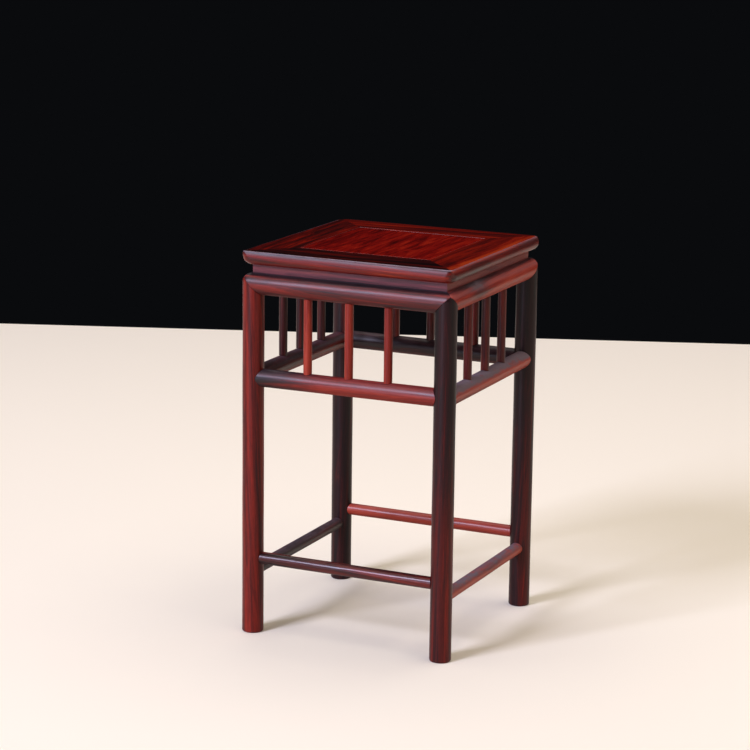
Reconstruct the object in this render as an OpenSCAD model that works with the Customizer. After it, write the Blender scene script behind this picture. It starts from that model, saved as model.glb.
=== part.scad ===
// Waisted square hardwood display stand: a framed panel top on a recessed waist, round aprons and
// round legs of one thickness mitred together in three directions, rails with balusters, and stretchers.
// Millimetres, +Z up, origin on the floor at the middle of the stand. The front faces -Y.

/* [Overall] */
// Height from the floor to the top of the frame
total_h = 200; // [170:1:240]
// Distance between leg axes, side to side
leg_span_x = 106; // [90:1:130]
// Distance between leg axes, front to back
leg_span_y = 105; // [90:1:130]
// Clearance left in each joint for the glue
joint_gap = 0.1; // [0.04:0.02:0.2]

/* [Legs and aprons] */
// Diameter of the legs, and of the aprons mitred to them
leg_d = 11.2; // [10:0.1:13]
// Rounding of the lower edge of each foot
foot_round = 0.9; // [0.3:0.1:2]
// Side of the square tenon on the head of each leg
leg_tenon_w = 3; // [2:0.1:3.6]
// How far each leg tenon stands in the top frame
leg_tenon_depth = 3.4; // [2:0.1:4.5]

/* [Top frame] */
// Thickness of the top frame
top_t = 7; // [6:0.1:9]
// Upper edge of the top frame beyond the leg axes
top_overhang = 4.1; // [3:0.1:7]
// Width of a frame member on its upper face
frame_w = 21.2; // [18:0.1:26]
// How far the edge moulding swells past the upper edge
edge_bulge = 1.2; // [0.3:0.1:1.5]
// Radius of the rounding under the edge moulding
edge_round = 3.5; // [3:0.1:5]
// Thickness of the tenon at each frame mitre
frame_tenon_t = 2.2; // [1.5:0.1:3]
// Width of the tenon at each frame mitre
frame_tenon_w = 7; // [5:0.1:8]
// Wood left between the frame tenon and the panel groove
frame_tenon_shoulder = 2; // [1:0.1:3]
// Wood left between the end of a frame tenon and the upper edge
frame_tenon_wall = 5.6; // [4:0.1:8]

/* [Panel] */
// Thickness of the panel
panel_t = 4.6; // [3.5:0.1:5]
// How far the panel lies below the frame
panel_sink = 0.1; // [0.05:0.05:0.6]
// Gap round the visible edge of the panel
panel_gap = 0.3; // [0.15:0.05:0.6]
// Thickness of the panel tongue
tongue_t = 1.6; // [1:0.1:2.4]
// How far the tongue stands into the frame
tongue_l = 2.6; // [1.5:0.1:4]
// Room left past the tongue for the panel to move
panel_room = 0.4; // [0.2:0.1:0.8]
// Width of the batten under the panel
batten_w = 8; // [6:0.1:14]
// Height of the batten below the panel
batten_t = 1.7; // [1.2:0.1:2]
// Depth of the dovetail that the batten slides in
batten_key = 1; // [0.6:0.1:1.4]
// How far the dovetail widens on each side
batten_flare = 0.5; // [0.2:0.1:1]
// Width of the tenon on each end of the batten
batten_tenon_w = 5; // [3:0.1:6]
// Thickness of the tenon on each end of the batten
batten_tenon_t = 1.1; // [0.8:0.1:1.2]
// Length of the tenon on each end of the batten
batten_tenon_l = 3; // [2:0.1:5]

/* [Waist] */
// Visible height of the waist
waist_h = 4.3; // [3:0.1:8]
// Thickness of the waist strips
waist_t = 4; // [3.6:0.1:5]
// Face of the waist beyond the leg axes
waist_out = 0.3; // [0:0.1:1]
// How deep the waist is let into the top of the aprons
waist_seat = 0.8; // [0.4:0.1:1.5]
// Wood left in front of the leg tenon at each waist corner
waist_skin = 1; // [0.7:0.1:1.4]
// Thickness of the tongue along the top of the waist
waist_tongue_t = 1.6; // [1:0.1:2]
// Height of the tongue along the top of the waist
waist_tongue_h = 1.6; // [1:0.1:2.4]

/* [Rails and balusters] */
// Diameter of the rails under the balusters
rail_d = 9.4; // [7:0.1:10]
// Height of the rail axes above the floor
rail_z = 135; // [110:0.5:150]
// Diameter of the rail tenons, which meet on a mitre inside the legs
rail_tenon_d = 5; // [4:0.1:6]
// Diameter of the balusters
baluster_d = 4.5; // [3.5:0.1:6]
// Spacing of the balusters
baluster_pitch = 22.2; // [16:0.1:25]
// How far the rows on the two sides sit to the left, seen from outside
side_row_shift = 2.4; // [0:0.1:4]
// Diameter of the tenons on the balusters
baluster_tenon_d = 2.6; // [2:0.1:3.2]
// Length of the tenons on the balusters
baluster_tenon_l = 2.5; // [1.5:0.1:4]

/* [Stretchers] */
// Diameter of the stretchers
stretcher_d = 6.4; // [5:0.1:8]
// Height of the front and back stretcher axes above the floor
front_stretcher_z = 39.8; // [30:0.1:60]
// Height of the side stretcher axes above the floor
side_stretcher_z = 32.3; // [15:0.1:50]
// Diameter of the stretcher tenons
stretcher_tenon_d = 3.6; // [2.5:0.1:4.5]
// How far the stretcher tenons stand in the legs
stretcher_tenon_l = 3.2; // [2:0.1:3.6]

/* [Hidden] */
$fn = 64;

// The four sides, a quarter turn apart, and the signs of X and Y at the four corners
SIDES = ["front", "right", "back", "left"];
CORNERS = [["front_left", -1, -1], ["front_right", 1, -1], ["back_right", 1, 1], ["back_left", -1, 1]];
BALUSTERS = 3;
// How far each baluster of a side stands off its even place, left to right seen from outside,
// because the rows were set by eye
baluster_set = [[-0.1, 0.5, -0.1], [-0.1, 0.2, -0.7], [-1.8, 1.4, -0.3], [-0.7, 2.0, -0.5]];

// Colours of the wood, from the bright heart to the dark streaked pieces
panel_red = [0.40, 0.10, 0.06];
frame_red = [0.33, 0.10, 0.07];
waist_plum = [0.30, 0.11, 0.11];
leg_brown = [0.24, 0.08, 0.07];
rail_brown = [0.28, 0.10, 0.08];
baluster_red = [0.42, 0.12, 0.08];

leg_r = leg_d / 2;
rail_r = rail_d / 2;
stretcher_r = stretcher_d / 2;

// Heights, from the top down
top_under_z = total_h - top_t;
apron_crown_z = top_under_z - waist_h;
apron_z = apron_crown_z - leg_r;
waist_seat_z = apron_crown_z - waist_seat;
tongue_z = total_h - top_t / 2;
panel_top_z = total_h - panel_sink;
panel_under_z = panel_top_z - panel_t;
batten_under_z = panel_under_z - batten_t;
batten_key_z = panel_under_z + batten_key;

// Places measured inward from a leg axis: the leg tenon behind the waist, and the frame tenon
leg_tenon_in = waist_skin - waist_out;
frame_inner = frame_w - top_overhang;
frame_tenon_in = frame_inner - tongue_l - panel_room - frame_tenon_shoulder - frame_tenon_w;
frame_tenon_end = frame_tenon_wall - top_overhang;

// Larger than the whole stand, for cutting planes and through cuts
reach = 2 * (total_h + leg_span_x + leg_span_y);
// Small extra length that carries a cut past the surface it opens
past = 1;

// Leg spacing along a side, and across the stand from it
function along(side) = side % 2 == 0 ? leg_span_x : leg_span_y;
function across(side) = side % 2 == 0 ? leg_span_y : leg_span_x;
// The front and back frame members carry the tenons, the left and right ones the mortises
function tenoned(side) = side % 2 == 0;
function stretcher_z(side) = side % 2 == 0 ? front_stretcher_z : side_stretcher_z;
function row_shift(side) = side % 2 == 0 ? 0 : -side_row_shift;
function baluster_x(side, k) =
    (k - (BALUSTERS - 1) / 2) * baluster_pitch + row_shift(side) + baluster_set[side][k];

// Everything on the far side of a plane with normal n, at distance d from the origin
module half_space(n, d) {
    rotate([0, acos(n.z / norm(n)), atan2(n.y, n.x)])
        translate([-reach / 2, -reach / 2, d])
            cube(reach);
}

// Box from corner a to corner b
module box(a, b) {
    translate(a)
        cube(b - a);
}

// Turns a piece drawn at the front round to its side
module on_side(side) {
    rotate([0, 0, 90 * side])
        children();
}

// Frame of one end of a side drawn at the front: origin on the leg axis at floor height,
// x inward along the side and y inward across the stand
module at_end(side, s) {
    translate([s * along(side) / 2, -across(side) / 2, 0])
        mirror([s > 0 ? 1 : 0, 0, 0])
            children();
}

module at_ends(side) {
    for (s = [-1, 1])
        at_end(side, s)
            children();
}

// Frame of a leg: origin on its axis at floor height, x and y inward
module at_corner(sx, sy) {
    translate([sx * leg_span_x / 2, sy * leg_span_y / 2, 0])
        mirror([sx > 0 ? 1 : 0, 0, 0])
            mirror([0, sy > 0 ? 1 : 0, 0])
                children();
}

// Round bar along a side, through the leg axes at height z, running past each by extra
module side_bar(side, z, d, extra) {
    length = along(side) + 2 * extra;
    translate([-length / 2, -across(side) / 2, z])
        rotate([0, 90, 0])
            cylinder(d = d, h = length);
}

// What a vertical mitre at 45 degrees takes off each end of a side
module end_mitres(side) {
    at_ends(side)
        half_space([-1, 1, 0], -joint_gap / 2);
}

// The square leg tenon, or with a clearance g the hole for it, from z0 to z1
module leg_tenon(z0, z1, g) {
    box([leg_tenon_in - g, leg_tenon_in - g, z0],
        [leg_tenon_in + leg_tenon_w + g, leg_tenon_in + leg_tenon_w + g, z1]);
}

module leg_tenon_holes(side) {
    at_ends(side)
        leg_tenon(0, top_under_z + leg_tenon_depth + joint_gap, joint_gap);
}

// Section of a frame member: x inward from the upper edge, y up from the upper face.
// The edge swells outward on one arc and rounds under on a second arc tangent to it.
module frame_section() {
    swell_h = top_t - edge_round;
    swell_r = (pow(swell_h, 2) + pow(edge_bulge, 2)) / (2 * edge_bulge);
    flat_from = edge_round - edge_bulge;
    translate([flat_from, -top_t])
        square([frame_w - flat_from, top_t]);
    intersection() {
        translate([-edge_bulge, -swell_h])
            square([edge_round, swell_h]);
        translate([swell_r - edge_bulge, -swell_h])
            circle(swell_r);
    }
    intersection() {
        translate([-edge_bulge, -top_t])
            square([edge_round, edge_round]);
        translate([flat_from, -swell_h])
            circle(edge_round);
    }
}

module frame_bar(side) {
    length = along(side) + 2 * (top_overhang + edge_bulge + past);
    translate([-length / 2, -across(side) / 2 - top_overhang, total_h])
        rotate([90, 0, 90])
            linear_extrude(length)
                frame_section();
}

// Frame tenon past the mitre of a tenoned member, in the frame of its end
module frame_tenon() {
    box([frame_tenon_end, frame_tenon_in, tongue_z - frame_tenon_t / 2],
        [frame_tenon_in + frame_tenon_w, frame_tenon_in + frame_tenon_w, tongue_z + frame_tenon_t / 2]);
}

// Mortise for it, in the frame of the end of the neighbouring member
module frame_mortise() {
    g = joint_gap;
    box([frame_tenon_in - g, frame_tenon_end - g, tongue_z - frame_tenon_t / 2 - g],
        [frame_tenon_in + frame_tenon_w + g, frame_inner, tongue_z + frame_tenon_t / 2 + g]);
}

// Groove along the inner edge of a frame member for the tongue of the panel
module panel_groove(side) {
    inner_y = -across(side) / 2 + frame_inner;
    box([-reach / 2, inner_y - tongue_l - panel_room, tongue_z - tongue_t / 2 - joint_gap],
        [reach / 2, inner_y + past, tongue_z + tongue_t / 2 + joint_gap]);
}

// Tongue along the top of a waist strip, or with a clearance g the groove for it
module waist_tongue(side, g) {
    face_y = -across(side) / 2 - waist_out;
    tongue_y = face_y + (waist_t - waist_tongue_t) / 2;
    box([-reach / 2, tongue_y - g, top_under_z - past],
        [reach / 2, tongue_y + waist_tongue_t + g, top_under_z + waist_tongue_h + g]);
}

// Batten along X: dovetail section in the panel, plain below it, or with a clearance g its housing
module batten_bar(length, g) {
    half = batten_w / 2 + g;
    key_half = half + batten_flare;
    translate([-length / 2, 0, 0])
        rotate([90, 0, 90])
            linear_extrude(length)
                polygon([
                    [-half, batten_under_z], [half, batten_under_z],
                    [half, panel_under_z], [key_half, batten_key_z + g],
                    [-key_half, batten_key_z + g], [-half, panel_under_z]
                ]);
}

// Tenons on both ends of the batten, or with a clearance g their mortises
module batten_tenons(g) {
    half_x = leg_span_x / 2 - frame_inner + batten_tenon_l + g;
    half_y = batten_tenon_w / 2 + g;
    cheek = (batten_t - batten_tenon_t) / 2;
    box([-half_x, -half_y, batten_under_z + cheek - g],
        [half_x, half_y, panel_under_z - cheek + g]);
}

module top_frame(side) {
    color(frame_red)
        on_side(side)
            difference() {
                union() {
                    difference() {
                        frame_bar(side);
                        end_mitres(side);
                    }
                    if (tenoned(side))
                        at_ends(side)
                            frame_tenon();
                }
                panel_groove(side);
                waist_tongue(side, joint_gap);
                leg_tenon_holes(side);
                if (!tenoned(side)) {
                    at_ends(side)
                        frame_mortise();
                    rotate([0, 0, 90])
                        batten_tenons(joint_gap);
                }
            }
}

module top_panel() {
    half_x = leg_span_x / 2 - frame_inner;
    half_y = leg_span_y / 2 - frame_inner;
    color(panel_red)
        difference() {
            union() {
                box([panel_gap - half_x, panel_gap - half_y, panel_under_z],
                    [half_x - panel_gap, half_y - panel_gap, panel_top_z]);
                box([-half_x - tongue_l, -half_y - tongue_l, tongue_z - tongue_t / 2],
                    [half_x + tongue_l, half_y + tongue_l, tongue_z + tongue_t / 2]);
            }
            batten_bar(leg_span_x, joint_gap);
        }
}

module panel_batten() {
    color(frame_red) {
        batten_bar(leg_span_x - 2 * frame_inner - 2 * joint_gap, 0);
        batten_tenons(0);
    }
}

module waist(side) {
    face_y = -across(side) / 2 - waist_out;
    color(waist_plum)
        on_side(side)
            difference() {
                union() {
                    box([-along(side) / 2 - leg_r, face_y, waist_seat_z + joint_gap],
                        [along(side) / 2 + leg_r, face_y + waist_t, top_under_z - joint_gap]);
                    waist_tongue(side, 0);
                }
                end_mitres(side);
                leg_tenon_holes(side);
            }
}

// Round apron. At each end it meets the leg on a mitre sloping at 45 degrees and the next apron on an
// upright one, so three equal round bars come together at one point of the corner.
module apron(side) {
    color(rail_brown)
        on_side(side)
            difference() {
                side_bar(side, apron_z, leg_d, leg_r);
                end_mitres(side);
                at_ends(side)
                    translate([0, 0, apron_z])
                        half_space([-1, 0, -1], -joint_gap / 2);
                leg_tenon_holes(side);
                box([-reach / 2, -across(side) / 2 - waist_out - joint_gap, waist_seat_z],
                    [reach / 2, 0, apron_crown_z + past]);
                for (k = [0 : BALUSTERS - 1])
                    baluster_tenon(side, k, joint_gap);
            }
}

// Leg: round bar with an eased foot, cut by two planes at its head to meet both aprons, with a square
// tenon rising behind the waist and round mortises for the rails and stretchers
module leg(sx, sy) {
    color(leg_brown)
        at_corner(sx, sy)
            difference() {
                union() {
                    difference() {
                        leg_bar();
                        translate([0, 0, apron_z]) {
                            half_space([1, 0, 1], -joint_gap / 2);
                            half_space([0, 1, 1], -joint_gap / 2);
                        }
                    }
                    intersection() {
                        cylinder(r = leg_r, h = total_h);
                        leg_tenon(apron_z - leg_d, top_under_z + leg_tenon_depth, 0);
                    }
                }
                for (turn = [0, 1])
                    mirror([turn, -turn, 0])
                        leg_mortises(turn);
            }
}

module leg_bar() {
    rotate_extrude()
        difference() {
            square([leg_r, apron_crown_z]);
            difference() {
                translate([leg_r - foot_round, -past])
                    square([foot_round + past, foot_round + past]);
                translate([leg_r - foot_round, foot_round])
                    circle(foot_round);
            }
        }
}

// Mortises that open along x, for a rail and for the stretcher of that side
module leg_mortises(side) {
    rail_tenon_r = rail_tenon_d / 2 + joint_gap;
    translate([-rail_tenon_r - joint_gap, 0, rail_z])
        rotate([0, 90, 0])
            cylinder(r = rail_tenon_r, h = rail_tenon_r + joint_gap + leg_r + past);
    translate([leg_r - stretcher_tenon_l - joint_gap, 0, stretcher_z(side)])
        rotate([0, 90, 0])
            cylinder(r = stretcher_tenon_d / 2 + joint_gap, h = stretcher_tenon_l + joint_gap + past);
}

// What coping a bar over the round legs takes off its ends
module leg_saddles(side) {
    at_ends(side)
        cylinder(r = leg_r + joint_gap, h = total_h);
}

// Rail: coped over the legs, and mitred to the next rails inside the corner and at the tenons
module upper_rail(side) {
    color(rail_brown)
        on_side(side)
            difference() {
                union() {
                    difference() {
                        side_bar(side, rail_z, rail_d, 0);
                        leg_saddles(side);
                    }
                    side_bar(side, rail_z, rail_tenon_d, rail_tenon_d / 2);
                }
                end_mitres(side);
                for (k = [0 : BALUSTERS - 1])
                    baluster_tenon(side, k, joint_gap);
            }
}

// Stretcher: coped over the legs, with short blind tenons
module stretcher(side) {
    color(rail_brown)
        on_side(side) {
            difference() {
                side_bar(side, stretcher_z(side), stretcher_d, 0);
                leg_saddles(side);
            }
            side_bar(side, stretcher_z(side), stretcher_tenon_d, stretcher_tenon_l - leg_r);
        }
}

// Tenons at both ends of a baluster, as one bar from rail to apron, or with a clearance g their holes
module baluster_tenon(side, k, g) {
    foot_z = rail_z + rail_r - baluster_tenon_l - g;
    head_z = apron_z - leg_r + baluster_tenon_l + g;
    translate([baluster_x(side, k), -across(side) / 2, foot_z])
        cylinder(d = baluster_tenon_d + 2 * g, h = head_z - foot_z);
}

// Baluster: coped on the rail below and under the apron above
module baluster(side, k) {
    color(baluster_red)
        on_side(side) {
            difference() {
                translate([baluster_x(side, k), -across(side) / 2, rail_z])
                    cylinder(d = baluster_d, h = apron_z - rail_z);
                side_bar(side, rail_z, rail_d + 2 * joint_gap, 0);
                side_bar(side, apron_z, leg_d + 2 * joint_gap, 0);
            }
            baluster_tenon(side, k, 0);
        }
}

for (side = [0 : len(SIDES) - 1]) {
    top_frame(side);
    waist(side);
    apron(side);
    upper_rail(side);
    stretcher(side);
    for (k = [0 : BALUSTERS - 1])
        baluster(side, k);
}
for (c = CORNERS)
    leg(c[1], c[2]);
top_panel();
panel_batten();
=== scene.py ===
"""Waisted square hardwood display stand: its looks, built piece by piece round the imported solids.

Lengths are in millimetres until a mesh is made, which is in metres. +Z is up, the front faces -Y.
A side's pieces are worked out as the front's and turned a quarter turn at a time: front, right,
back, left.
"""
import math

import bmesh
import bpy
import numpy as np
from mathutils import Matrix, Vector


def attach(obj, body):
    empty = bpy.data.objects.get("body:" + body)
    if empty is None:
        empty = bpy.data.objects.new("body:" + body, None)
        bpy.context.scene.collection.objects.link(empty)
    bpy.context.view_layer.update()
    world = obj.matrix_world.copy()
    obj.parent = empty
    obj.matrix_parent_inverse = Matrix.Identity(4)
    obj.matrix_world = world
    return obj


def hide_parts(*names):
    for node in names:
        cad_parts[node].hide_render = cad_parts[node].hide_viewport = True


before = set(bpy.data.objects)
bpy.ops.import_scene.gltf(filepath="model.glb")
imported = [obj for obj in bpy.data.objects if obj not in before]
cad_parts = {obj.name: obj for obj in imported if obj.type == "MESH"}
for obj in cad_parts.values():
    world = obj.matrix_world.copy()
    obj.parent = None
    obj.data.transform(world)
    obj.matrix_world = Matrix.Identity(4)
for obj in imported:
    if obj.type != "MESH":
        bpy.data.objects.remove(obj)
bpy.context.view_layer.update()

MM = 0.001
SIDES = ("front", "right", "back", "left")
# The legs from the front left round, with the signs of their X and Y
CORNERS = (("front_left", -1, -1), ("front_right", 1, -1), ("back_right", 1, 1),
           ("back_left", -1, 1))

# Sizes of the stand, as in its solids
HALF_X, HALF_Y = 53.0, 52.5
GAP = 0.1
MITRE_GAP = GAP / math.sqrt(2)
TOP_Z, TOP_T = 200.0, 7.0
OVERHANG, FRAME_W = 4.1, 21.2
UNDER_R = 3.5
FRAME_IN = FRAME_W - OVERHANG
PANEL_SINK, PANEL_T, PANEL_GAP = 0.1, 4.6, 0.3
TONGUE_Z, TONGUE_T, TONGUE_L, PANEL_ROOM = TOP_Z - TOP_T / 2, 1.6, 2.6, 0.4
BATTEN_W, BATTEN_T, BATTEN_KEY, BATTEN_FLARE = 8.0, 1.7, 1.0, 0.5
BATTEN_TENON_W, BATTEN_TENON_T, BATTEN_TENON_L = 5.0, 1.1, 3.0
LEG_R, RAIL_R, STRETCHER_R, BALUSTER_R = 5.6, 4.7, 3.2, 2.25
WAIST_H, WAIST_T, WAIST_OUT, WAIST_SEAT = 4.3, 4.0, 0.3, 0.8
CROWN_Z = TOP_Z - TOP_T - WAIST_H
APRON_Z = CROWN_Z - LEG_R
RAIL_Z = 135.0
STRETCHER_Z = (39.8, 32.3)
FOOT_ROUND = 0.9
BALUSTER_PITCH, SIDE_ROW_SHIFT = 22.2, 2.4
BALUSTER_SET = ((-0.1, 0.5, -0.1), (-0.1, 0.2, -0.7), (-1.8, 1.4, -0.3), (-0.7, 2.0, -0.5))

# Sizes of wear and handwork. The top's glued mitres close tighter than the solids' and let no
# light through, and its panel is sanded nearly flush
TOP_MITRE_GAP = 0.005
PANEL_LOW = PANEL_SINK / 4
# Radii of eased ends and arrises
RAIL_EASE, MITRE_EASE, BALUSTER_EASE = 0.12, 0.15, 0.1
FRAME_EASE_IN, FRAME_EASE_LOW = 0.24, 0.3
WAIST_EASE, PANEL_EASE, PANEL_EASE_BACK = 0.25, 0.2, 0.5
# Height left to the sanded tip of a mitred corner, in radii of the leg
CORNER_TIP = 0.1
# Rises of the rails from their left to their right end, seen from outside: fitted
RAIL_RISE = (0.5, 0.6, 0.0, 0.0)
# Mean depth of planing under a bar's radius, height of each of its waves, and their lengths
PLANED_DEPTH, PLANED_WAVE, PLANED_LENGTHS = 0.06, 0.02, (35, 80)
# Rounding of the top's four corners in plan, at the upper arris and at the swell, from front left
ARRIS_ROUND = (1.0, 2.2, 2.5, 5.5)
SWELL_ROUND = (5.0, 5.0, 4.0, 5.5)
# Widths of the section up to which the rounding is whole, and over which it then fades, the least
# that is left of it, and how far its stations run past the largest
ROUND_WHOLE, ROUND_FADE, ROUND_LEAST, ROUND_PAST = 1.0, 4, 1e-6, 0.2
# Easing of the upper arris and swell of the edge at the same four corners
ARRIS_EASE = (0.4, 0.6, 0.8, 2.0)
EDGE_BULGE = (1.0, 1.2, 1.15, 1.15)

# Steps of the meshes; those along the panel leave a border
AROUND = 72
ALONG = 61
EASE_STEPS = 5
EDGE_STEPS = 12
CORNER_STEPS = 11
PANEL_STEPS, PANEL_BORDER = 45, 2
BATTEN_STEPS = 9
# Widths at which the flat upper and lower faces of a frame member are divided
FACE_AT = (FRAME_W - 3, FRAME_W - 9, FRAME_W - 14, 4.5, 2.0)
UNDERSIDE_AT = (5, 8, 14)
# Edges sharper than this are shaded sharp, and points nearer than this in metres are one
SHARP = math.radians(32)
WELD = 1e-7


def along(side):
    """Half the spacing of the legs along a side."""
    return HALF_X if side % 2 == 0 else HALF_Y


def across(side):
    """Distance from the middle of the stand out to the leg axes of a side."""
    return HALF_Y if side % 2 == 0 else HALF_X


def turned(points, side):
    """Points of a front piece turned by a quarter turn for each side, about the upright axis."""
    c, s = ((1, 0), (0, 1), (-1, 0), (0, -1))[side]
    x, y, z = np.moveaxis(points, -1, 0)
    return np.stack([c * x - s * y, s * x + c * y, z], -1)


def to_linear(code):
    """An sRGB hex colour as linear red, green, blue and an alpha of 1."""
    c = np.array([int(code[i:i + 2], 16) for i in (1, 3, 5)]) / 255
    linear = np.where(c <= 0.04045, c / 12.92, ((c + 0.055) / 1.055) ** 2.4)
    return (*linear.tolist(), 1.0)


def add(tree, kind, inputs=None, stops=None, **settings):
    """One shader node with its settings.

    Inputs are values or other nodes' sockets, and stops are the places and colours of its ramp.
    """
    made = tree.nodes.new(kind)
    for key, value in settings.items():
        setattr(made, key, value)
    for key, value in (inputs or {}).items():
        if isinstance(value, bpy.types.NodeSocket):
            tree.links.new(value, made.inputs[key])
        else:
            made.inputs[key].default_value = value
    for i, (place, code) in enumerate(stops or ()):
        ramp = made.color_ramp.elements
        stop = ramp[i] if i < 2 else ramp.new(place)
        stop.position = place
        stop.color = to_linear(code)
    return made


# Sizes of the wood's figure along and across the grain, and of the patches in which dust and a
# painted sheen lie
BROAD_WIDTH = 4.0
FINE_SIZE, PORE_SIZE, DUST_SIZE = (30, 0.9), (3, 0.25), (5.0, 3.0)
NOISE_ROUGHNESS, NOISE_MIDDLE = 0.55, 0.5
# Growth lines over the range of the broad streaks, each folded to rise and fall by this much
RING_COUNT, RING_FOLD = 10.0, 0.5
# Weights of broad streaks, growth lines, fine lines and pores in the tone
BROAD_TONE, RING_TONE, FINE_TONE, PORE_TONE = 1.5, 0.4, 0.55, 0.2
# Weight of fine lines in the roughness and of pores in the relief, and the relief's strength
FINE_MATT, PORE_RELIEF = 0.25, 0.6
RELIEF, RELIEF_DEPTH = 0.3, 0.05 * MM
# Pale grey-violet of dust; the same colour paints a sheen on bar tops and a highlight along the
# frame's upper arris
DUST_AND_SHEEN_COLOUR = "#70606A"
# Range of the noise of the dust and painted sheen, and its cover at the thin and thick ends of that
# range
DUST_NOISE, DUST_COVER = (0.3, 0.6), (0.35, 1.15)
WAX_IOR = 1.5
TONE_STOPS = (0.0, 0.28, 0.52, 0.76, 1.0)


def rosewood(name, tones, roughness, polish, figure, length=130, curl=0.4):
    """Waxed rosewood: dark wandering streaks in red heartwood, all drawn out along the grain.

    The grain attribute holds millimetres: along the grain, then its two cross directions. The tone
    attribute is 0 in near-black wood and 1 in the brightest heart, dust_and_sheen is 1 where dust
    lies, where a pale sheen is painted on bar tops and where a highlight is painted along the
    frame's upper arris, and matt is added to the roughness. Figure is the strength of the streaks,
    and the broad ones have a length and a curl.
    """
    material = bpy.data.materials.new(name)
    material.use_nodes = True
    tree = material.node_tree
    tree.nodes.clear()
    grain = add(tree, "ShaderNodeAttribute", attribute_name="grain").outputs["Vector"]
    tone = add(tree, "ShaderNodeAttribute", attribute_name="tone").outputs["Fac"]
    dust_and_sheen = add(tree, "ShaderNodeAttribute", attribute_name="dust_and_sheen").outputs["Fac"]
    matt = add(tree, "ShaderNodeAttribute", attribute_name="matt").outputs["Fac"]

    def streaks(length, width, detail, distortion=0.0):
        """Noise drawn out to a length along the grain and a width across it."""
        at = add(tree, "ShaderNodeVectorMath", {0: grain, 1: (1 / length, 1 / width, 1 / width)},
                 operation="MULTIPLY")
        noise = add(tree, "ShaderNodeTexNoise", {
            "Vector": at.outputs[0], "Scale": 1.0, "Detail": detail,
            "Roughness": NOISE_ROUGHNESS, "Distortion": distortion})
        return noise.outputs[0]

    def sum_of(start, *weighted):
        """Start, and for each height its weight times how far it lies from its middle."""
        total = start
        for height, weight, middle in weighted:
            centred = add(tree, "ShaderNodeMath", {0: height, 1: middle}, operation="SUBTRACT")
            total = add(tree, "ShaderNodeMath", {0: centred.outputs[0], 1: weight, 2: total},
                        operation="MULTIPLY_ADD").outputs[0]
        return total

    broad = streaks(length, BROAD_WIDTH, detail=2.0, distortion=curl)
    fine = streaks(*FINE_SIZE, detail=3.0, distortion=0.2)
    pores = streaks(*PORE_SIZE, detail=1.0)
    specks = streaks(*DUST_SIZE, detail=4.0)
    # Growth lines follow the contours of the broad streaks, about 1 mm apart
    line = add(tree, "ShaderNodeMath", {0: broad, 1: RING_COUNT}, operation="MULTIPLY").outputs[0]
    rings = add(tree, "ShaderNodeMath", {0: line, 1: RING_FOLD}, operation="PINGPONG").outputs[0]
    shade = sum_of(tone, (broad, BROAD_TONE * figure, NOISE_MIDDLE),
                   (rings, RING_TONE * figure, RING_FOLD / 2),
                   (fine, FINE_TONE * figure, NOISE_MIDDLE), (pores, PORE_TONE, NOISE_MIDDLE))
    heart = add(tree, "ShaderNodeValToRGB", {"Fac": shade},
                stops=tuple(zip(TONE_STOPS, tones))).outputs["Color"]
    cover = add(tree, "ShaderNodeMapRange", {
        "Value": specks, "From Min": DUST_NOISE[0], "From Max": DUST_NOISE[1],
        "To Min": DUST_COVER[0], "To Max": DUST_COVER[1]}).outputs[0]
    # Dust colour mixed in where dust lies, also painting a pale sheen on bar tops and a highlight
    # along the upper arris
    dust_and_sheen_share = add(tree, "ShaderNodeMath", {0: dust_and_sheen, 1: cover}, operation="MULTIPLY",
                use_clamp=True).outputs[0]
    heart_with_dust_and_sheen = add(tree, "ShaderNodeMix", {0: dust_and_sheen_share, 6: heart, 7: to_linear(DUST_AND_SHEEN_COLOUR)},
                data_type="RGBA").outputs[2]
    dull = add(tree, "ShaderNodeMath", {0: matt, 1: roughness}, operation="ADD").outputs[0]
    rough = sum_of(dull, (fine, FINE_MATT, NOISE_MIDDLE))
    relief = sum_of(fine, (pores, PORE_RELIEF, NOISE_MIDDLE))
    bump = add(tree, "ShaderNodeBump", {"Height": relief, "Strength": RELIEF,
                                        "Distance": RELIEF_DEPTH})
    shader = add(tree, "ShaderNodeBsdfPrincipled", {
        "Base Color": heart_with_dust_and_sheen, "Roughness": rough, "IOR": WAX_IOR, "Specular IOR Level": polish,
        "Normal": bump.outputs["Normal"]})
    add(tree, "ShaderNodeOutputMaterial", {"Surface": shader.outputs["BSDF"]})
    return material


# Dark streaks to bright heart, at the stops of the ramp of each group of pieces
BAR_TONES = ("#110A0D", "#2B0F12", "#5C1A16", "#8E2A1F", "#B0422E")
FRAME_TONES = ("#110607", "#2C0908", "#560C07", "#7C1608", "#A03412")
PANEL_TONES = ("#220404", "#440504", "#640805", "#7E0F07", "#931F0D")
WAIST_TONES = ("#2A141A", "#471D24", "#632A33", "#7B383C", "#8E4744")
WOOD = {
    "leg_wood": rosewood("rosewood_waxed_leg", BAR_TONES,
                         roughness=0.36, polish=0.21, figure=0.6),
    "rail_wood": rosewood("rosewood_waxed_rail", BAR_TONES,
                          roughness=0.37, polish=0.36, figure=0.75, length=100),
    "baluster_wood": rosewood("rosewood_waxed_baluster", BAR_TONES,
                              roughness=0.32, polish=0.24, figure=0.5),
    "frame_wood": rosewood("rosewood_polished_frame", FRAME_TONES,
                           roughness=0.14, polish=0.34, figure=0.85, length=90),
    "panel_wood": rosewood("rosewood_polished_panel", PANEL_TONES,
                           roughness=0.12, polish=0.36, figure=1.0, length=34, curl=1.4),
    "waist_wood": rosewood("rosewood_waxed_waist", WAIST_TONES,
                           roughness=0.44, polish=0.36, figure=1.2, length=70),
}
# Most lean of a piece's grain in radians, and the spread of the pieces' places in the log
GRAIN_LEAN, LOG_SPREAD = 0.05, 400


def weld(mesh):
    """Joins the points that lie in one place, where an outline is narrowed to a tongue or tenon."""
    shell = bmesh.new()
    shell.from_mesh(mesh)
    bmesh.ops.remove_doubles(shell, verts=shell.verts, dist=WELD)
    shell.to_mesh(mesh)
    shell.free()


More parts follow.
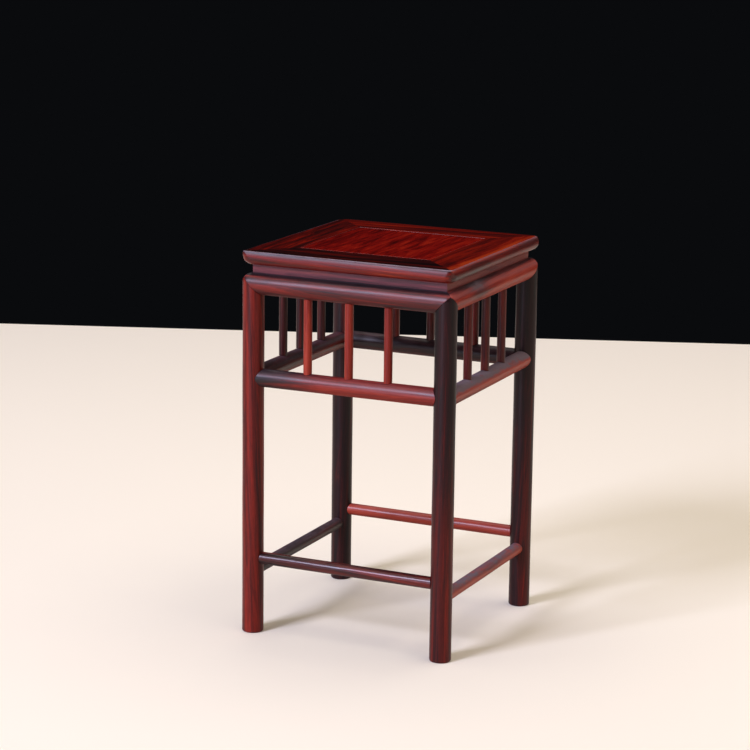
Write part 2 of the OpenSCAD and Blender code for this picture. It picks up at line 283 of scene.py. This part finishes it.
def solid(name, rings, tips, grain_axis, slot, seed, tone, dust_and_sheen=0.0, matt=0.0):
    """A closed piece: rings[i] is the outline at station i, and two ends close it.

    The sides join each ring to the next. With tips, a fan runs from the tip to the ring at each
    end; without, the end ring is one flat face. The grain attribute is the place of each point
    along the grain and across it, leant by a few degrees, turned about itself and moved to a place
    of its own in the log. Tone, dust_and_sheen and matt are numbers or arrays over the rings, and
    the tips take the mean.
    """
    stations, points = rings.shape[:2]
    place = rings.reshape(-1, 3)
    index = np.arange(stations * points).reshape(stations, points)
    after = np.roll(index, -1, axis=1)
    quads = np.stack([index[:-1], after[:-1], after[1:], index[1:]], -1).reshape(-1, 4)
    first, last = index[0], index[-1]
    if tips is None:
        ends = [first[::-1].tolist(), last.tolist()]
    else:
        place = np.concatenate([place, np.asarray(tips, float)])
        low, high = len(place) - 2, len(place) - 1
        ends = np.concatenate([
            np.stack([np.full(points, low), np.roll(first, -1), first], -1),
            np.stack([np.full(points, high), last, np.roll(last, -1)], -1)]).tolist()
    a, b, c, d = (place[quads[:, k]] for k in range(4))
    centre = place.mean(0)
    volume = ((a - centre) * np.cross(b - centre, c - centre)).sum()
    volume += ((a - centre) * np.cross(c - centre, d - centre)).sum()
    faces = quads.tolist() + ends
    if volume < 0:
        faces = [face[::-1] for face in faces]
    mesh = bpy.data.meshes.new(name)
    mesh.from_pydata(place * MM, [], faces)
    rng = np.random.default_rng(seed)
    lean = np.array(Matrix.Rotation(rng.uniform(-GRAIN_LEAN, GRAIN_LEAN), 3, "Z")
                    @ Matrix.Rotation(rng.uniform(-GRAIN_LEAN, GRAIN_LEAN), 3, "Y")
                    @ Matrix.Rotation(rng.uniform(0, math.tau), 3, "X"))
    lengthways = np.roll(place, -"xyz".index(grain_axis), axis=1)
    moved = rng.uniform(-LOG_SPREAD, LOG_SPREAD, 3)
    log = (lengthways - lengthways.mean(0)) @ lean.T + moved
    grain = mesh.attributes.new("grain", "FLOAT_VECTOR", "POINT")
    grain.data.foreach_set("vector", log.astype(np.float32).ravel())
    for key, given in (("tone", tone), ("dust_and_sheen", dust_and_sheen), ("matt", matt)):
        over = np.broadcast_to(np.asarray(given, float), (stations, points))
        values = np.concatenate([over.ravel(), np.full(len(place) - over.size, over.mean())])
        written = mesh.attributes.new(key, "FLOAT", "POINT")
        written.data.foreach_set("value", values.astype(np.float32))
    weld(mesh)
    mesh.polygons.foreach_set("use_smooth", np.ones(len(mesh.polygons), bool))
    mesh.set_sharp_from_angle(angle=SHARP)
    mesh.materials.append(WOOD[slot])
    piece = bpy.data.objects.new(name, mesh)
    bpy.context.scene.collection.objects.link(piece)
    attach(piece, "root")
    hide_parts(name)
    piece.name = name + "_wood"


def side_solid(kind, side, rings, tips, *finish):
    """A front piece's rings and tips turned to their side, with the grain along that side."""
    tips = None if tips is None else turned(np.array(tips), side)
    solid(f"{kind}_{SIDES[side]}", turned(rings, side), tips, "xy"[side % 2], *finish)


def eased(ease):
    """Distances from an end and how far the surface is drawn in there: a quarter round."""
    turn = np.linspace(0, math.pi / 2, EASE_STEPS)
    return ease * (1 - np.cos(turn)), ease * (1 - np.sin(turn))


def bend(start, corner, end):
    """Quadratic curve from start to end that leaves and meets the straight lines through corner."""
    t = np.linspace(0, 1, EASE_STEPS)[:, None]
    start, corner, end = (np.asarray(p, float) for p in (start, corner, end))
    return start * (1 - t) ** 2 + 2 * corner * t * (1 - t) + end * t ** 2


def hand_planed(rng, place, angle):
    """Slow unevenness of a hand-planed round bar, never above its radius.

    It is a mean depth and a sum of three waves along the bar, which go round it once, twice and
    three times.
    """
    wave = np.full(np.broadcast(place, angle).shape, -PLANED_DEPTH)
    for around in (1, 2, 3):
        length, a, b = rng.uniform(*PLANED_LENGTHS), *rng.uniform(0, math.tau, 2)
        wave += PLANED_WAVE * np.sin(math.tau * place / length + a) * np.cos(around * angle + b)
    return wave


def round_bar(radius, start, end, eases, seed):
    """A round bar cut to start(a, b) and end(a, b), functions of the cross offsets from its axis.

    Each end is eased by a quarter round against its cut, and stations lie closer towards the ends.
    Returns the place along the bar and the two cross offsets, each stations by points.
    """
    angle = np.linspace(0, math.tau, AROUND, endpoint=False)
    (near, near_in), (far, far_in) = (eased(e) for e in eases)
    drawn = np.concatenate([near_in, np.zeros(ALONG - 2), far_in[::-1]])[:, None]
    a, b = (radius - drawn) * np.cos(angle), (radius - drawn) * np.sin(angle)
    low, high = start(a, b), end(a, b)
    share = (1 - np.cos(np.linspace(0, math.pi, ALONG)))[1:-1, None] / 2
    ends = len(near)
    place = np.concatenate([
        low[:ends] + near[:, None],
        (low[ends:-ends] + eases[0]) * (1 - share) + (high[ends:-ends] - eases[1]) * share,
        high[-ends:] - far[::-1, None]])
    r = radius - drawn + hand_planed(np.random.default_rng(seed), place, angle)
    return place, r * np.cos(angle), r * np.sin(angle)


def apron_cut(inward, up):
    """Three-way mitre: the further of the upright plane to the next apron and the leg's slope."""
    return np.maximum(inward, -up) + MITRE_GAP


def rail_cut(inward):
    """Saddle over the leg, and a mitre to the next rail where they meet inside the corner."""
    return np.maximum(np.sqrt((LEG_R + GAP) ** 2 - inward ** 2), inward + MITRE_GAP)


def sanded(past):
    """How far points past the centre of a mitred corner are drawn to it, as the tip is sanded.

    A point d past the bar's radius, in radii, is left k past it:
    k = d / sqrt(1 + (d / CORNER_TIP)^2).
    """
    d = np.hypot(1, np.maximum(past, 0) / LEG_R) - 1
    return (1 + d / np.sqrt(1 + (d / CORNER_TIP) ** 2)) / (1 + d)


# Height above a bar's axis, in radii, from which dust and a painted sheen lie, and over which they
# grow to most
DUST_FROM, DUST_OVER = 0.1, 0.5
# Roughness added where dust and painted sheen lie, and at the bottom of an underside that was never
# rubbed
DUST_MATT, UNDER_MATT = 0.25, 0.35
# Painted shade darkens the apron's crown in the corner under the waist: its least height and its
# range in radii of the apron, how far inward it reaches, and how much darker it is
PAINTED_SHADE_FROM, PAINTED_SHADE_OVER, PAINTED_SHADE_IN, PAINTED_SHADE_DARK = 0.74, 0.16, 1, 0.5


def dust_and_sheen_on_top(up, radius):
    """Dust and a painted sheen on a bar's upper side: from nothing a little above its middle to
    most near its crown.
    """
    return np.clip((up / radius - DUST_FROM) / DUST_OVER, 0, 1)


def unpolished(up, radius, dust_and_sheen_share):
    """Matt of a bar: dust and painted sheen dull its upper side, and its underside is dull towards
    the bottom.
    """
    return DUST_MATT * dust_and_sheen_share + UNDER_MATT * np.clip(-up / radius, 0, 1)


def side_bar(kind, side, radius, z, seed, tone, dust_and_sheen, rise=0.0, rubbed=0.0):
    """Round bar along a side between its two legs, its ends cut alike, rising from left to right.

    Where it was rubbed, its roughness is less by that.
    """
    half, back = along(side), across(side)
    x, inward, up = round_bar(radius, lambda a, b: rail_cut(a) - half,
                              lambda a, b: half - rail_cut(a), (RAIL_EASE, RAIL_EASE), seed)
    rings = np.stack([x, inward - back, up + z + rise * x / (2 * half)], -1)
    tip = half - rail_cut(0.0)
    tips = [[-tip, -back, z - rise / 2], [tip, -back, z + rise / 2]]
    # Dust and a painted sheen on the bar's upper side
    dust_and_sheen_share = dust_and_sheen * dust_and_sheen_on_top(up, radius)
    side_solid(kind, side, rings, tips, "rail_wood", seed, tone(x / half), dust_and_sheen_share,
               unpolished(up, radius, dust_and_sheen_share) - rubbed)


def apron(side, seed, tone, dust_and_sheen):
    """Round apron with its crown cut down to a flat seat behind the face of the waist."""
    half, back = along(side), across(side)
    x, inward, up = round_bar(LEG_R, lambda a, b: apron_cut(a, b) - half,
                              lambda a, b: half - apron_cut(a, b), (MITRE_EASE, MITRE_EASE), seed)
    past = np.abs(x) - half
    drawn = sanded(past)
    x = np.where(past > 0, np.sign(x) * (half + past * drawn), x)
    inward, up = inward * drawn, up * drawn
    # Painted shade: the crown is darkened in the corner under the waist
    painted_shade = np.clip((up / LEG_R - PAINTED_SHADE_FROM) / PAINTED_SHADE_OVER, 0, 1) * (inward < PAINTED_SHADE_IN)
    # Dust and a painted sheen on the apron's upper side
    dust_and_sheen_share = dust_and_sheen(x / half) * dust_and_sheen_on_top(up, LEG_R)
    matt = unpolished(up, LEG_R, dust_and_sheen_share)
    up = np.where(inward > -WAIST_OUT - GAP, np.minimum(up, LEG_R - WAIST_SEAT), up)
    rings = np.stack([x, inward - back, up + APRON_Z], -1)
    tips = [[-half + MITRE_GAP, -back, APRON_Z], [half - MITRE_GAP, -back, APRON_Z]]
    side_solid("apron", side, rings, tips, "rail_wood", seed,
               tone(x / half) - PAINTED_SHADE_DARK * painted_shade, dust_and_sheen_share, matt)


def leg(name, sx, sy, seed, tone):
    """Round leg: eased foot on the floor, and a head cut by two slopes that meet both aprons."""
    z, u, v = round_bar(LEG_R, lambda a, b: np.zeros_like(a),
                        lambda a, b: APRON_Z - np.maximum(a, b) - MITRE_GAP,
                        (FOOT_ROUND, MITRE_EASE), seed)
    drawn = sanded(z - APRON_Z)
    z = np.where(z > APRON_Z, APRON_Z + (z - APRON_Z) * drawn, z)
    u, v = u * drawn, v * drawn
    rings = np.stack([sx * (HALF_X - u), sy * (HALF_Y - v), z], -1)
    tips = [[sx * HALF_X, sy * HALF_Y, 0.0], [sx * HALF_X, sy * HALF_Y, APRON_Z - MITRE_GAP]]
    solid(f"leg_{name}", rings, tips, "z", "leg_wood", seed, tone(2 * z / APRON_Z - 1))


def rail_height(side, x):
    """Height of a rail's axis at a place along its side."""
    return RAIL_Z + RAIL_RISE[side] * x / (2 * along(side))


def baluster(side, k, seed, tone):
    """Slim upright, coped over the rail below and under the apron above."""
    shift = SIDE_ROW_SHIFT if side % 2 else 0.0
    x = (k - 1) * BALUSTER_PITCH - shift + BALUSTER_SET[side][k]
    foot, back = rail_height(side, x), across(side)
    z, u, v = round_bar(BALUSTER_R, lambda a, b: foot + np.sqrt((RAIL_R + GAP) ** 2 - b ** 2),
                        lambda a, b: APRON_Z - np.sqrt((LEG_R + GAP) ** 2 - b ** 2),
                        (BALUSTER_EASE, BALUSTER_EASE), seed)
    rings = np.stack([x + u, v - back, z], -1)
    tips = np.array([[x, -back, foot + RAIL_R + GAP], [x, -back, APRON_Z - LEG_R - GAP]])
    solid(f"baluster_{SIDES[side]}_{k + 1}", turned(rings, side), turned(tips, side), "z",
          "baluster_wood", seed, tone)


def frame_outline(ease_out, bulge):
    """Section of a frame member: width inward from the upper edge, height from the upper face.

    The edge swells by bulge on one arc and rounds under on a second; arrises are eased and the
    panel groove is cut.
    """
    swell_h = TOP_T - UNDER_R
    swell_r = (swell_h ** 2 + bulge ** 2) / (2 * bulge)
    drop = np.linspace(ease_out, swell_h, EDGE_STEPS)
    swell = np.stack([swell_r - bulge - np.sqrt(swell_r ** 2 - (swell_h - drop) ** 2), -drop], -1)
    turn = np.linspace(0, math.pi / 2, EDGE_STEPS + 1)[1:]
    under = np.stack([UNDER_R - bulge - UNDER_R * np.cos(turn),
                      -swell_h - UNDER_R * np.sin(turn)], -1)
    groove_top = TONGUE_Z + TONGUE_T / 2 + GAP - TOP_Z
    groove_low = TONGUE_Z - TONGUE_T / 2 - GAP - TOP_Z
    depth = FRAME_W - TONGUE_L - PANEL_ROOM
    return np.concatenate([
        [[w, 0] for w in FACE_AT],
        bend((ease_out, 0), (0, 0), swell[0]), swell[1:], under,
        [[w, -TOP_T] for w in UNDERSIDE_AT],
        bend((FRAME_W - FRAME_EASE_LOW, -TOP_T), (FRAME_W, -TOP_T),
             (FRAME_W, FRAME_EASE_LOW - TOP_T)),
        [[FRAME_W, groove_low], [depth, groove_low], [depth, groove_top], [FRAME_W, groove_top]],
        bend((FRAME_W, -FRAME_EASE_IN), (FRAME_W, 0), (FRAME_W - FRAME_EASE_IN, 0))])


def frame_end(corner):
    """One end of a frame member, its corner rounded in plan by a circle that touches both sides.

    At distance t past the mitre, a line of the section is drawn in by
    rho - (t + sqrt(2 rho^2 - t^2)) / 2, where rho is its own radius. Returns places along the side
    from the corner of the leg axes, then widths and heights of the section.
    """
    w, h = frame_outline(ARRIS_EASE[corner], EDGE_BULGE[corner]).T
    depth = np.clip(-h / (TOP_T - UNDER_R), 0, 1)
    rho = ARRIS_ROUND[corner] * (1 - depth) + SWELL_ROUND[corner] * depth
    rho = rho * np.clip(1 - (w - ROUND_WHOLE) / ROUND_FADE, 0, 1) + ROUND_LEAST
    t = np.linspace(0, max(SWELL_ROUND) + ROUND_PAST, CORNER_STEPS)[:, None]
    held = np.minimum(t, rho)
    width = w + rho - (held + np.sqrt(2 * rho ** 2 - held ** 2)) / 2
    return width + t - OVERHANG + TOP_MITRE_GAP, width, np.broadcast_to(h, width.shape)


# A highlight is painted along the eased upper arris, in the pale dust colour over brighter wood:
# its drop under the face, its spread, how far inward it reaches, and how much brighter its wood is
PAINTED_HIGHLIGHT_DROP, PAINTED_HIGHLIGHT_SPREAD, PAINTED_HIGHLIGHT_REACH, PAINTED_HIGHLIGHT_TONE = 0.18, 0.24, 1.2, 0.2
# Width of the brighter heart along the rim of the face, and drop over which the edge's tone begins
RIM_W, EDGE_DROP = 7, 1.2
# Edges have worn duller than the polished faces: by how much, and over which drop under the face
FRAME_MATT, PANEL_MATT = 0.27, 0.3
OUTER_DROP, INNER_DROP = 0.6, 0.05


def top_frame(side, seed, tone_top, tone_edge, rim, painted_highlight):
    """Frame member: its section carried along the side between two mitred, rounded corners."""
    half, back = along(side), across(side)
    left, left_w, left_h = frame_end(side)
    right, right_w, right_h = (part[::-1] for part in frame_end((side + 1) % 4))
    share = np.linspace(0, 1, ALONG)[1:-1, None]

    def carried(first, last):
        """Two ends joined by even steps from the last ring of one to the first of the other."""
        return np.concatenate([first, first[-1] * (1 - share) + last[0] * share, last])

    x = carried(left - half, half - right)
    w, h = carried(left_w, right_w), carried(left_h, right_h)
    rings = np.stack([x, w - OVERHANG - back, h + TOP_Z], -1)
    # Painted highlight: a pale band along the upper arris, over wood painted brighter
    rubbed = np.exp(-((h + PAINTED_HIGHLIGHT_DROP) / PAINTED_HIGHLIGHT_SPREAD) ** 2) * (w < PAINTED_HIGHLIGHT_REACH) * (h < 0)
    tone = tone_top + rim * np.clip(1 - w / RIM_W, 0, 1)
    tone = tone + (tone_edge - tone) * np.clip(-h / EDGE_DROP, 0, 1) + PAINTED_HIGHLIGHT_TONE * rubbed
    matt = FRAME_MATT * np.clip(-h / np.where(w < FRAME_W / 2, OUTER_DROP, INNER_DROP), 0, 1)
    side_solid("top_frame", side, rings, None, "frame_wood", seed, tone, painted_highlight * rubbed, matt)


def waist(side, seed, tone):
    """Plain waist strip: a rectangle with eased arrises carried to a mitre at each end."""
    half, back = along(side), across(side)
    low, high = CROWN_Z - WAIST_SEAT + GAP, TOP_Z - TOP_T - GAP
    near, far, e = -WAIST_OUT, WAIST_T - WAIST_OUT, WAIST_EASE
    outline = np.concatenate([
        bend((near + e, high), (near, high), (near, high - e)),
        bend((near, low + e), (near, low), (near + e, low)),
        bend((far - e, low), (far, low), (far, low + e)),
        bend((far, high - e), (far, high), (far - e, high))])
    inward, z = outline.T
    edge = inward + MITRE_GAP - half
    share = np.linspace(0, 1, ALONG)[:, None]
    rings = np.stack(np.broadcast_arrays(edge * (1 - 2 * share), inward - back, z), -1)
    side_solid("waist", side, rings, None, "waist_wood", seed, tone)


def housing_outline(half, low, key_z, flare):
    """Dovetail housing in the underside, from left to right: plain mouth at low, wider at key_z."""
    return [[-half, low], [-half - flare, key_z], [half + flare, key_z], [half, low]]


def top_panel(seed, tone):
    """Panel: one section across Y carried along X, its height held to the tongue past the body."""
    body_x, body_y = HALF_X - FRAME_IN - PANEL_GAP, HALF_Y - FRAME_IN - PANEL_GAP
    tongue_x, tongue_y = HALF_X - FRAME_IN + TONGUE_L, HALF_Y - FRAME_IN + TONGUE_L
    top, e, e_back = TOP_Z - PANEL_LOW, PANEL_EASE, PANEL_EASE_BACK
    low = top - PANEL_T
    t_low, t_top = TONGUE_Z - TONGUE_T / 2, TONGUE_Z + TONGUE_T / 2
    level = np.linspace(body_y - e_back, e - body_y, PANEL_STEPS)[1:-1]
    outline = np.concatenate([
        bend((body_y, top - e_back), (body_y, top), (body_y - e_back, top)),
        np.stack([level, np.full(level.shape, top)], -1),
        bend((e - body_y, top), (-body_y, top), (-body_y, top - e)),
        [[-body_y, t_top], [-tongue_y, t_top], [-tongue_y, t_low], [-body_y, t_low],
         [-body_y, low]],
        housing_outline(BATTEN_W / 2 + GAP, low, low + BATTEN_KEY + GAP, BATTEN_FLARE),
        [[body_y, low], [body_y, t_low], [tongue_y, t_low], [tongue_y, t_top], [body_y, t_top]]])
    reach, drawn = eased(e)
    x = np.concatenate([
        [-tongue_x, -body_x], reach - body_x,
        np.linspace(-body_x + PANEL_BORDER, body_x - PANEL_BORDER, PANEL_STEPS),
        body_x - reach[::-1], [body_x, tongue_x]])
    ceiling = np.concatenate([
        [t_top, t_top], top - drawn, np.full(PANEL_STEPS, top), top - drawn[::-1],
        [t_top, t_top]])
    floor = np.where(ceiling == t_top, t_low, low)
    y, z = outline.T
    z = np.clip(z, floor[:, None], ceiling[:, None])
    rings = np.stack(np.broadcast_arrays(x[:, None], y, z), -1)
    matt = PANEL_MATT * np.clip((top - z) / INNER_DROP, 0, 1)
    solid("top_panel", rings, None, "y", "panel_wood", seed, tone(x / body_x)[:, None], matt=matt)


def panel_batten(seed, tone):
    """Batten: dovetail section along X, narrowed to a flat tenon past each end of its body."""
    low = TOP_Z - PANEL_SINK - PANEL_T - BATTEN_T
    mid = low + BATTEN_T
    half, key = BATTEN_W / 2, mid + BATTEN_KEY
    outline = np.array([[-half, low], [half, low], [half, mid], [half + BATTEN_FLARE, key],
                        [-half - BATTEN_FLARE, key], [-half, mid]])
    body = HALF_X - FRAME_IN - GAP
    end = HALF_X - FRAME_IN + BATTEN_TENON_L
    cheek = (BATTEN_T - BATTEN_TENON_T) / 2
    x = np.concatenate([[-end, -body], np.linspace(-body, body, BATTEN_STEPS), [body, end]])
    tenon = np.full((len(x), 1), False)
    tenon[:2], tenon[-2:] = True, True
    y, z = outline.T
    y = np.where(tenon, np.clip(y, -BATTEN_TENON_W / 2, BATTEN_TENON_W / 2), y)
    z = np.where(tenon, np.clip(z, low + cheek, mid - cheek), z)
    rings = np.stack(np.broadcast_arrays(x[:, None], y, z), -1)
    solid("panel_batten", rings, None, "x", "frame_wood", seed, tone)


def even(tone):
    """The same tone all along a piece, whose place runs from -1 to 1."""
    return lambda place: np.full(place.shape, tone)


def from_to(first, last, middle, spread):
    """Tone that changes from first to last round a place along the piece, over a spread."""
    return lambda place: first + (last - first) * np.clip((place - middle) / spread + 0.5, 0, 1)


def patch(tone, dark, middle, spread):
    """Even value with one patch that is less by dark, bell-shaped along the piece."""
    return lambda place: tone - dark * np.exp(-((place - middle) / spread) ** 2)


# Tones, dust with painted sheen, and painted arris highlights of the pieces: front, right, back,
# left
FRAME_TOP, FRAME_EDGE = (0.24, 0.6, 0.56, 0.44), (0.58, 0.5, 0.45, 0.45)
FRAME_RIM = (0.0, 0.3, 0.0, 0.0)
ARRIS_PAINTED_HIGHLIGHT = (1.3, 0.8, 0.5, 0.9)
WAIST_TONE = (0.5, 1.05, 0.4, 0.5)
APRON_TONE = (even(0.47), patch(0.92, 0.3, -0.42, 0.2), even(0.4), even(0.45))
APRON_DUST_AND_SHEEN = (even(0.05), patch(0.15, -0.7, -0.42, 0.17), even(0.15), even(0.15))
RAIL_TONE = (from_to(0.22, 0.8, -0.55, 0.6), even(0.85), even(0.22), even(0.42))
RAIL_DUST_AND_SHEEN = (0.12, 1.4, 0.3, 0.35)
STRETCHER_TONE = (even(0.42), patch(1.0, 0.2, 0.2, 0.3), even(0.97), even(0.3))
STRETCHER_DUST_AND_SHEEN = (0.0, 0.9, 0.1, 0.4)
STRETCHER_RUBBED = (0.12, 0.0, 0.08, 0.0)
BALUSTER_TONE = ((0.84, 0.88, 0.66), (0.48, 0.44, 0.48), (0.42, 0.4, 0.44), (0.36, 0.32, 0.36))
# Tones of the legs, from the front left round, and of the two pieces in the middle
LEG_TONE = (even(0.58), from_to(0.47, 0.1, 0.1, 0.8), from_to(0.3, 0.17, 0.0, 1.0), even(0.23))
PANEL_TONE = from_to(0.53, 0.75, 0.0, 2.0)
BATTEN_TONE = 0.5
# First seed of each kind of piece
FRAME_SEED, WAIST_SEED, APRON_SEED, RAIL_SEED, STRETCHER_SEED = 10, 20, 30, 40, 50
BALUSTER_SEED, LEG_SEED, PANEL_SEED, BATTEN_SEED = 60, 80, 90, 91

# The pieces
for side in range(4):
    top_frame(side, FRAME_SEED + side, FRAME_TOP[side], FRAME_EDGE[side], FRAME_RIM[side],
              ARRIS_PAINTED_HIGHLIGHT[side])
    waist(side, WAIST_SEED + side, WAIST_TONE[side])
    apron(side, APRON_SEED + side, APRON_TONE[side], APRON_DUST_AND_SHEEN[side])
    side_bar("upper_rail", side, RAIL_R, RAIL_Z, RAIL_SEED + side, RAIL_TONE[side],
             RAIL_DUST_AND_SHEEN[side], rise=RAIL_RISE[side])
    side_bar("stretcher", side, STRETCHER_R, STRETCHER_Z[side % 2], STRETCHER_SEED + side,
             STRETCHER_TONE[side], STRETCHER_DUST_AND_SHEEN[side], rubbed=STRETCHER_RUBBED[side])
    for k in range(3):
        baluster(side, k, BALUSTER_SEED + 3 * side + k, BALUSTER_TONE[side][k])
for number, (name, sx, sy) in enumerate(CORNERS):
    leg(name, sx, sy, LEG_SEED + number, LEG_TONE[number])
top_panel(PANEL_SEED, PANEL_TONE)
panel_batten(BATTEN_SEED, BATTEN_TONE)

# Camera, from a fit to the legs, rails and feet: angles in degrees, lengths in millimetres
CAMERA_AZIMUTH, CAMERA_ELEVATION, CAMERA_ROLL = 24.915, 12.825, 0.721
CAMERA_DISTANCE, TARGET_RIGHT, TARGET_UP = 1386.2, -8.51, 130.65
FOCAL_PIXELS, FRAME_PIXELS, SENSOR = 2681.7, 750, 36.0
# Nearest and furthest that it sees, in metres
CAMERA_CLIP = (0.05, 20.0)


def photo_camera():
    """Camera on a sphere round the target, looking at it, then rolled about its line of sight."""
    a, e, roll = (math.radians(v) for v in (CAMERA_AZIMUTH, CAMERA_ELEVATION, CAMERA_ROLL))
    back = Vector((math.sin(a) * math.cos(e), -math.cos(a) * math.cos(e), math.sin(e)))
    right = Vector((math.cos(a), math.sin(a), 0))
    up = back.cross(right)
    target = right * TARGET_RIGHT + Vector((0, 0, TARGET_UP))
    rolled_right = right * math.cos(roll) + up * math.sin(roll)
    rolled_up = up * math.cos(roll) - right * math.sin(roll)
    data = bpy.data.cameras.new("photo_camera")
    data.sensor_width = SENSOR
    data.lens = FOCAL_PIXELS / FRAME_PIXELS * SENSOR
    data.clip_start, data.clip_end = CAMERA_CLIP
    camera = bpy.data.objects.new("photo_camera", data)
    bpy.context.scene.collection.objects.link(camera)
    turn = Matrix((rolled_right, rolled_up, back)).transposed().to_4x4()
    camera.matrix_world = Matrix.Translation((target + back * CAMERA_DISTANCE) * MM) @ turn
    bpy.context.scene.camera = camera


photo_camera()


def softbox(name, place, aim, width, height, radiance, colour):
    """Rectangular soft lamp at place, turned to aim, in metres.

    Its watts are radiance times pi times its area.
    """
    data = bpy.data.lights.new(name, "AREA")
    data.shape = "RECTANGLE"
    data.size, data.size_y = width, height
    data.energy = radiance * math.pi * width * height
    data.color = colour
    lamp = bpy.data.objects.new(name, data)
    bpy.context.scene.collection.objects.link(lamp)
    lamp.location = place
    lamp.rotation_euler = (Vector(aim) - Vector(place)).to_track_quat("-Z", "Y").to_euler()
    lamp.visible_camera = False


softbox("key_softbox", place=(-1.2, -2.7, 2.03), aim=(0, 0, 0.15), width=0.9, height=1.1,
        radiance=36.0, colour=(0.72, 0.74, 1.0))
softbox("low_softbox", place=(-0.64, -2.48, 0.216), aim=(0, 0, 0.12), width=0.48, height=0.42,
        radiance=20.0, colour=(0.8, 0.74, 1.0))
softbox("overhead_softbox", place=(0.0, 0.1, 1.5), aim=(0, 0, 0), width=2.0, height=2.0,
        radiance=1.75, colour=(1.0, 0.92, 0.86))
softbox("right_fill_softbox", place=(1.7, 0.1, 0.8), aim=(0, 0, 0.1), width=1.8, height=1.3,
        radiance=1.1, colour=(1.0, 0.86, 0.72))
softbox("back_softbox", place=(1.11, 1.78, 1.0), aim=(0, 0, 0.15), width=1.4, height=0.8,
        radiance=0.55, colour=(0.97, 0.94, 1.0))

# Plain pale floor with a straight far edge, in metres, and a plain dark backdrop behind it
FLOOR_SIDE, FLOOR_FRONT, FLOOR_BACK = 3.0, 3.0, 0.717
# Degrees by which its far edge is turned from square to the camera
FLOOR_TURN = 4.25
# Seen pale, while the light that it throws up on the wood is that of a warmer, darker cloth
FLOOR_SEEN, FLOOR_THROWN, FLOOR_ROUGHNESS = "#FCF3E0", "#9C7A5E", 0.9
BACKDROP = "#0A0B0D"


def pale_floor():
    """Flat rectangle on the ground, nearly square to the camera; from below it is clear."""
    a = math.radians(CAMERA_AZIMUTH - FLOOR_TURN)
    right = np.array([math.cos(a), math.sin(a), 0])
    away = np.array([-math.sin(a), math.cos(a), 0])
    corners = [right * x + away * y for x, y in (
        (-FLOOR_SIDE, -FLOOR_FRONT), (FLOOR_SIDE, -FLOOR_FRONT),
        (FLOOR_SIDE, FLOOR_BACK), (-FLOOR_SIDE, FLOOR_BACK))]
    mesh = bpy.data.meshes.new("floor")
    mesh.from_pydata(np.array(corners), [], [[0, 1, 2, 3]])
    material = bpy.data.materials.new("pale_linen_floor")
    material.use_nodes = True
    tree = material.node_tree
    tree.nodes.clear()
    thrown = add(tree, "ShaderNodeLightPath").outputs["Is Diffuse Ray"]
    colour = add(tree, "ShaderNodeMix", {
        0: thrown, 6: to_linear(FLOOR_SEEN), 7: to_linear(FLOOR_THROWN)},
        data_type="RGBA").outputs[2]
    cloth = add(tree, "ShaderNodeBsdfPrincipled", {
        "Base Color": colour, "Roughness": FLOOR_ROUGHNESS})
    clear = add(tree, "ShaderNodeBsdfTransparent")
    below = add(tree, "ShaderNodeNewGeometry").outputs["Backfacing"]
    either = add(tree, "ShaderNodeMixShader", {
        0: below, 1: cloth.outputs[0], 2: clear.outputs[0]})
    add(tree, "ShaderNodeOutputMaterial", {"Surface": either.outputs[0]})
    mesh.materials.append(material)
    floor = bpy.data.objects.new("floor", mesh)
    bpy.context.scene.collection.objects.link(floor)


pale_floor()

world = bpy.data.worlds.new("dark_backdrop")
bpy.context.scene.world = world
world.use_nodes = True
world.node_tree.nodes["Background"].inputs["Color"].default_value = to_linear(BACKDROP)
world.node_tree.nodes["Background"].inputs["Strength"].default_value = 1.0
bpy.context.scene.view_settings.view_transform = "Standard"
